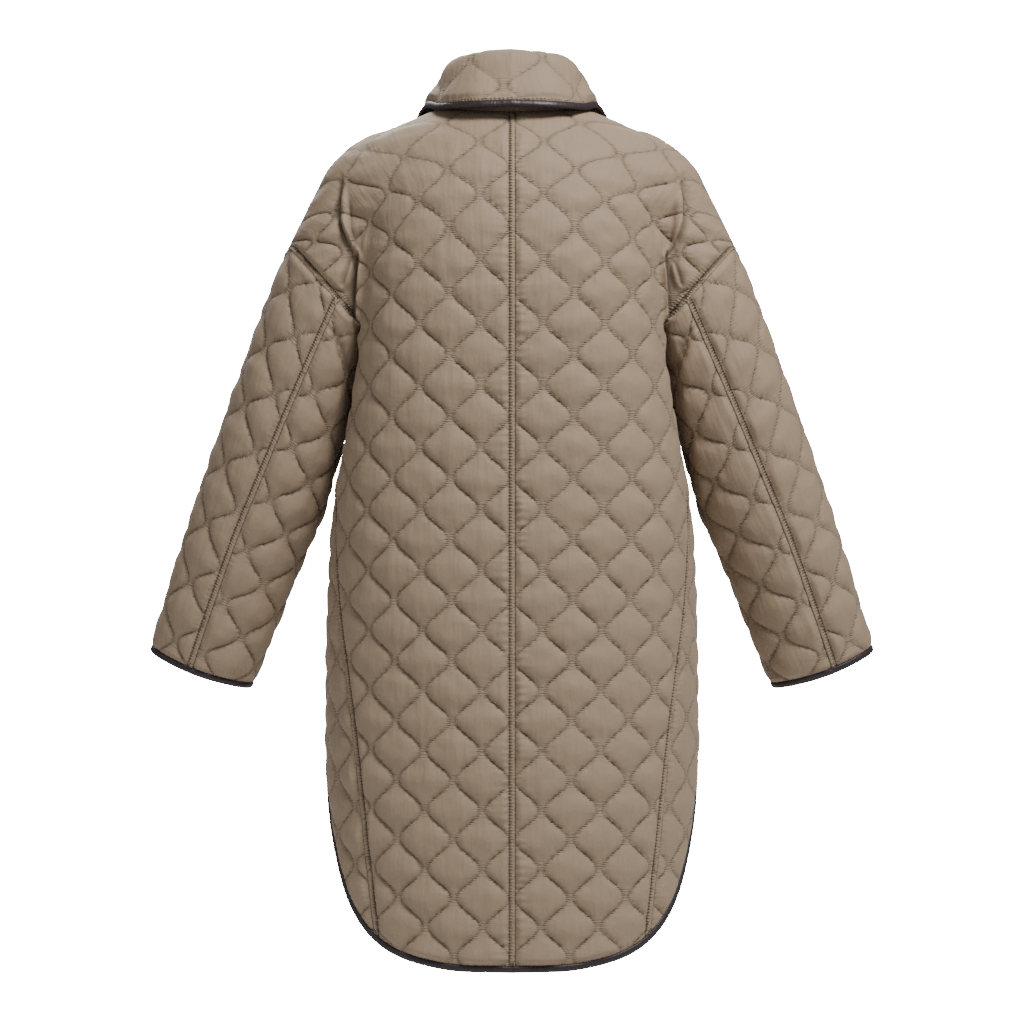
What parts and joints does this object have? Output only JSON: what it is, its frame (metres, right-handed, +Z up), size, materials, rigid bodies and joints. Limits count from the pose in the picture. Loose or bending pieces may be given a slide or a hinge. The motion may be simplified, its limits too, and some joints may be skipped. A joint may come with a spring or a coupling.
{
  "type": "quilted jacket",
  "caption": "Long quilted jacket with a fold-over collar, dropped two-piece sleeves, side slits, a rounded hem and bound edges, filled out as worn",
  "frame": {"origin": "middle of the wearer's neck, level with the neck seam at the nape", "axes": "+Z up towards the wearer's head, fronts facing -Y, back facing +Y, +X towards the wearer's left"},
  "size_m": [0.8464, 0.3287, 1.0462],
  "materials": {
    "quilted_cloth": "matt woven cotton, padded and stitched",
    "binding": "smooth, slightly glossy, dark brown",
    "stud": "dark, satin"
  },
  "bodies": {
    "root": {"back_left": "quilted_cloth", "back_right": "quilted_cloth", "side_back_left": "quilted_cloth", "side_back_right": "quilted_cloth", "front_left": "quilted_cloth", "front_right": "quilted_cloth", "sleeve_top_left": "quilted_cloth", "sleeve_top_right": "quilted_cloth", "sleeve_under_left": "quilted_cloth", "sleeve_under_right": "quilted_cloth", "collar": "quilted_cloth", "collar_binding": "binding", "hem_binding_back": "binding", "front_binding_left": "binding", "front_binding_right": "binding", "cuff_binding_left": "binding", "cuff_binding_right": "binding", "stud_1": "stud", "stud_2": "stud", "stud_3": "stud", "stud_4": "stud", "stud_5": "stud"}
  },
  "joints": []
}
